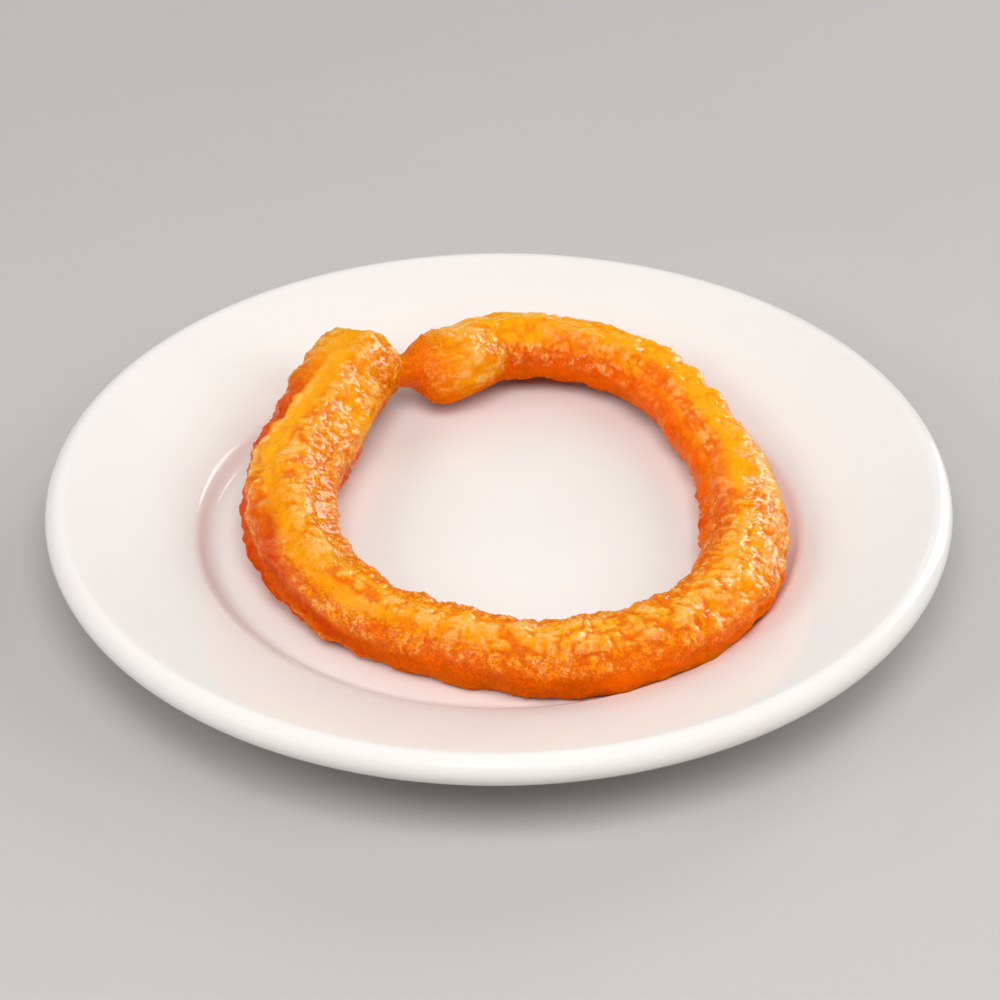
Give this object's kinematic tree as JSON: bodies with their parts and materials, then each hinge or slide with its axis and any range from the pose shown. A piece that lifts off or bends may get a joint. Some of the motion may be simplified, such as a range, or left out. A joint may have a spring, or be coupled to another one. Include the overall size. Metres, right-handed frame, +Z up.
{
  "type": "syrup-soaked dough ring on a plate",
  "caption": "Piped ring of fried dough, glossy with syrup, its ends joined by a short neck, lying in the well of a round white porcelain plate with a sloping rim and a foot ring.",
  "frame": {"origin": "middle of the plate's foot ring, on the surface the plate stands on", "axes": "+Z up along the plate's axis, -Y towards the viewer of the picture, +X to the viewer's right; the ring's joined ends are at the back left"},
  "size_m": [0.21, 0.21, 0.0309],
  "materials": {
    "porcelain": "glossy white glaze",
    "syrup_dough": "golden orange fried crust, glossy with syrup"
  },
  "bodies": {
    "root": {"plate": "porcelain", "dough_ring": "syrup_dough"}
  },
  "joints": []
}
